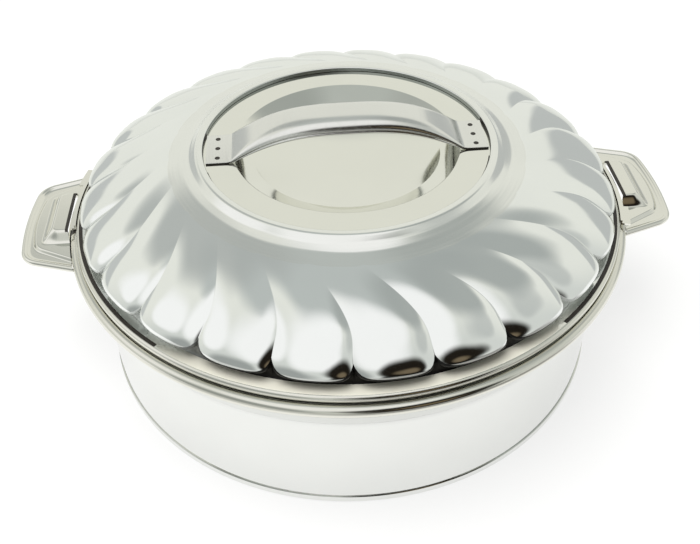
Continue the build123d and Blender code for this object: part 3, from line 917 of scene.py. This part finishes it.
# %% Handle mesh
def handle_grid(columns=201, rows=56):
    """Rows from the curled edge over the plate to its root, as (rows, columns, 3)."""
    trimmed = resample(handle_line, 1200)
    trimmed = trimmed[np.linalg.norm(trimmed, axis=1) > root_radius]
    line = resample(trimmed, columns)
    along = np.gradient(line, axis=0)
    along /= np.linalg.norm(along, axis=1)[:, None]
    inward = np.stack([-along[:, 1], along[:, 0]], axis=1)
    tangent = np.stack([-line[:, 1], line[:, 0]], axis=1) / np.linalg.norm(line, axis=1)[:, None]
    tangent[columns // 2:] *= -1
    tangent /= np.einsum("ij,ij->i", tangent, inward)[:, None]
    steps = np.arange(columns)
    near_root = 1 - ease(np.minimum(steps, columns - 1 - steps) / 16)
    inward = inward * (1 - near_root)[:, None] + tangent * near_root[:, None]
    roll = [(roll_r + roll_r * math.cos(t), roll_height + roll_r * math.sin(t))
            for t in np.radians(np.linspace(300, 38, 20))]
    roll += [(3.35, band_height + 0.28), (3.9, band_height + 0.06), (4.5, band_height)]
    grid = [np.column_stack([line + inward * d, np.full(columns, z)]) for d, z in roll]
    last = grid[-1][:, :2]
    start = math.atan2(last[0, 1], last[0, 0])
    angles = np.linspace(start * 0.94, -start * 0.94, columns)
    root = np.stack([root_radius * np.cos(angles), root_radius * np.sin(angles)], axis=1)
    lip = ease((hood_top_half + 2 - np.abs(root[:, 1])) / 2)
    root[:, 0] += (hood_lip - root[:, 0]) * lip
    for share in np.linspace(0, 1, rows)[1:]:
        points = last + (root - last) * share
        grid.append(np.column_stack([points, pressed_height(points)]))
    print("handle root spans", round(2 * abs(start) * root_radius, 1), "mm")
    return np.array(grid)


def weld_flange(sign):
    """Sheet below the plate that is welded to the wall, as a grid of its outer face."""
    line = soft_line([(bead_outer + 1.4, band_height + 1.2), (bead_outer + 1.4, 69.5, 5.0),
                      (131.9, 54.0, 6.0), (131.9, 44.0)], steps=10)
    angles = np.radians(np.linspace(-11.8, 11.8, 33))
    grid = [[(sign * r * math.cos(a), sign * r * math.sin(a), z) for a in angles]
            for r, z in line]
    return np.array(grid)


def side_handle(label, sign):
    grid = handle_grid()
    grid[..., :2] *= sign
    plate = shell_from_grid(f"{label}_handle_skin", grid, handle_sheet, sharp=60.0, flip=True)
    dress(plate, "base", f"{label}_handle", handle_steel)
    # The hood's edge towards the lid gets the weld-scale steel as painted shadow in the slit.
    plate.data.materials.append(weld_scale_and_shade_steel)
    for face in plate.data.polygons:
        near_lid = abs(face.center.x) < (hood_lip + 1.3) * MM
        if near_lid and abs(face.center.y) < (hood_top_half + 1.0) * MM:
            face.material_index = 1
    flange = shell_from_grid(f"{label}_handle_flange", weld_flange(sign), handle_sheet, sharp=60.0)
    flange.data.materials.append(handle_steel)
    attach(flange, "base")


side_handle("right", 1)
side_handle("left", -1)

# %% Lock tabs
for tab in ("right_lock_tab", "left_lock_tab"):
    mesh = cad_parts[tab].data
    mesh.materials.clear()
    mesh.materials.append(handle_steel)

# %% [markdown]
# ## Studio
# A mirror needs something to reflect. Round this pot stands a pale room with a bright ceiling, a
# white window to the left, softer greys behind, and a dark gap in front on the right, beside the
# camera. The room is painted into the world by direction, so it slides over every curve correctly
# when the pot or the camera turns. The camera itself sees plain white.

# %% Directions round the pot
def toward(bearing, elevation=0.0):
    """Unit direction from a bearing in degrees (0 in front, right is positive) and an elevation."""
    turn, lift = math.radians(bearing), math.radians(elevation)
    return math.sin(turn) * math.cos(lift), -math.cos(turn) * math.cos(lift), math.sin(lift)


def cone(tree, direction, middle, inner, outer, cover=1.0):
    """Cover for directions within the inner half angle, fading to 0 at the outer one."""
    near = add_node(tree, "ShaderNodeVectorMath", {0: direction, 1: middle},
                    operation="DOT_PRODUCT")
    return add_node(tree, "ShaderNodeMapRange",
                    {"Value": near.outputs["Value"], "From Min": math.cos(math.radians(outer)),
                     "From Max": math.cos(math.radians(inner)), "To Max": cover},
                    interpolation_type="SMOOTHSTEP").outputs[0]


# %% Floor
floor_half = 3.0
floor_mesh = bpy.data.meshes.new("floor")
floor_mesh.from_pydata([(-floor_half, -floor_half, 0), (floor_half, -floor_half, 0),
                        (floor_half, floor_half, 0), (-floor_half, floor_half, 0)],
                       [], [(0, 1, 2, 3)])
floor = bpy.data.objects.new("floor", floor_mesh)
bpy.context.scene.collection.objects.link(floor)
floor_paint, tree = new_material("white_sweep")
floor_glow = 0.72
seen = add_node(tree, "ShaderNodeLightPath")
direct = add_node(tree, "ShaderNodeMath", {0: seen.outputs["Is Camera Ray"],
                                           1: seen.outputs["Is Glossy Ray"]}, operation="MAXIMUM")
share = add_node(tree, "ShaderNodeMath", {0: direct.outputs[0], 1: floor_glow},
                 operation="MULTIPLY")
matt = add_node(tree, "ShaderNodeBsdfDiffuse", {"Color": srgb("#F4F4F2")})

# %% What the mirrors see of the floor
# In the mirrors the floor turns darker a little way in front, so that the toes have something dark
# to show, and it turns to cream behind. The camera itself sees none of that.
cream_start, cream_run = -60.0, 220.0
mirror_dark_start, mirror_dark_full = 205.0, 320.0
mirror_dark_inner, mirror_dark_outer = 22.0, 46.0
spot = add_node(tree, "ShaderNodeTexCoord").outputs["Object"]
behind = add_node(tree, "ShaderNodeMath", {0: behind_line(tree, spot, cream_start, cream_run),
                                           1: seen.outputs["Is Glossy Ray"]}, operation="MULTIPLY")
sheen = add_node(tree, "ShaderNodeMixRGB", {"Fac": behind.outputs[0], "Color1": (1, 1, 1, 1),
                                            "Color2": srgb("#DFE1DA")})
distance = add_node(tree, "ShaderNodeVectorMath", {0: spot}, operation="LENGTH")
outward = add_node(tree, "ShaderNodeVectorMath", {0: spot}, operation="NORMALIZE")
far = add_node(tree, "ShaderNodeMapRange",
               {"Value": distance.outputs["Value"], "From Min": mirror_dark_start * MM,
                "From Max": mirror_dark_full * MM}, interpolation_type="SMOOTHSTEP")
# Bearing of the middle of each darker stretch, right is positive, and its colour.
for bearing, code in ((-26, "#A9ABA8"), (32, "#38332C")):
    sector = cone(tree, outward.outputs[0], toward(bearing), mirror_dark_inner, mirror_dark_outer)
    mirror_dark = add_node(tree, "ShaderNodeMath", {0: sector, 1: far.outputs[0]}, operation="MULTIPLY")
    mirror_dark = add_node(tree, "ShaderNodeMath", {0: mirror_dark.outputs[0], 1: seen.outputs["Is Glossy Ray"]},
                   operation="MULTIPLY")
    sheen = add_node(tree, "ShaderNodeMixRGB", {"Fac": mirror_dark.outputs[0], "Color1": sheen.outputs[0],
                                                "Color2": srgb(code)})
glow = add_node(tree, "ShaderNodeEmission", {"Color": sheen.outputs[0], "Strength": 1.0})
both = add_node(tree, "ShaderNodeMixShader", {0: share.outputs[0], 1: matt.outputs[0],
                                              2: glow.outputs[0]})
put_out(tree, both)
floor.data.materials.append(floor_paint)

# %% Room painted by direction
world = bpy.data.worlds.new("studio")
bpy.context.scene.world = world
world.use_nodes = True
tree = world.node_tree
tree.nodes.clear()
direction = add_node(tree, "ShaderNodeTexCoord").outputs["Generated"]
# Each patch: bearing from the front (right is positive), elevation, inner and outer half angles,
# colour and how fully it covers what lies under it.
room = (
    ("back wall", 180, 15, 60, 100, "#EDEEE7", 1.0),
    ("grey wall right", 130, 0, 23, 26, "#C1C4C2", 1.0),
    ("grey wall left", -132, -4, 20, 23, "#C6C9C7", 1.0),
    ("grey ceiling", 178, 68, 14, 26, "#BEC3C1", 1.0),
    ("grey ceiling right", 126, 58, 10, 22, "#A9AEAC", 0.95),
    ("grey corner right", 84, 50, 7, 17, "#BABEBC", 0.7),
    ("grey band left", -150, 50, 8, 20, "#B2B6B4", 0.9),
    ("window", -94, 40, 12, 22, "#FFFFFF", 1.0),
    ("front left wall", -44, 8, 18, 34, "#9DA19F", 0.95),
    ("front ceiling", -24, 66, 18, 34, "#FFFFFF", 1.0),
    ("ceiling light", 40, 84, 8, 18, "#FFFFFF", 1.0),
    ("dark gap", 23, 28, 21, 33, "#1F1B16", 1.0),
    ("dark gap low", 20, -2, 18, 28, "#15120E", 0.95),
    ("far lamp", 23, 22, 3, 15, "#80725C", 0.8),
)
colour = srgb("#D8DBD7")
for label, bearing, elevation, inner, outer, code, cover in room:
    patch = cone(tree, direction, toward(bearing, elevation), inner, outer, cover)
    colour = add_node(tree, "ShaderNodeMixRGB", {"Fac": patch, "Color1": colour,
                                                 "Color2": srgb(code)}, label=label).outputs[0]
print("patches in the room", len(room))
painted = add_node(tree, "ShaderNodeBackground", {"Color": colour, "Strength": 1.0})
white = add_node(tree, "ShaderNodeBackground", {"Color": (1, 1, 1, 1), "Strength": 1.0})
seen = add_node(tree, "ShaderNodeLightPath")
sky = add_node(tree, "ShaderNodeMixShader", {0: seen.outputs["Is Camera Ray"],
                                             1: painted.outputs[0], 2: white.outputs[0]})
output = add_node(tree, "ShaderNodeOutputWorld")
tree.links.new(sky.outputs[0], output.inputs["Surface"])

# %% Soft lamp
soft_box = bpy.data.lights.new("soft_box", "AREA")
soft_box.shape = "SQUARE"
soft_box.size = 1.1
soft_box.energy = 22
lamp = bpy.data.objects.new("soft_box", soft_box)
lamp.location = (-0.35, -0.15, 1.5)
lamp.rotation_euler = (Vector((0, 0, 0.05)) - lamp.location).to_track_quat("-Z", "Y").to_euler()
# Hidden from the mirrors, where a bare lamp would print a hard white square.
lamp.visible_glossy = False
bpy.context.scene.collection.objects.link(lamp)

# %% Camera
camera_data = bpy.data.cameras.new("camera")
camera_data.sensor_width = 36.0
camera_data.lens = 45.75
camera = bpy.data.objects.new("camera", camera_data)
camera.location = Vector((-25.2, -369.3, 360.7)) * MM
aim = Vector((-2.0, -36.2, 60.0)) * MM
level = (aim - camera.location).to_track_quat("-Z", "Y")
roll = Euler((0, 0, math.radians(-1.14))).to_quaternion()
camera.rotation_euler = (level @ roll).to_euler()
bpy.context.scene.collection.objects.link(camera)
bpy.context.scene.camera = camera
bpy.context.scene.view_settings.view_transform = "Standard"
print("camera looks down by",
      round(math.degrees(math.asin((camera.location - aim).normalized().z)), 1), "degrees")
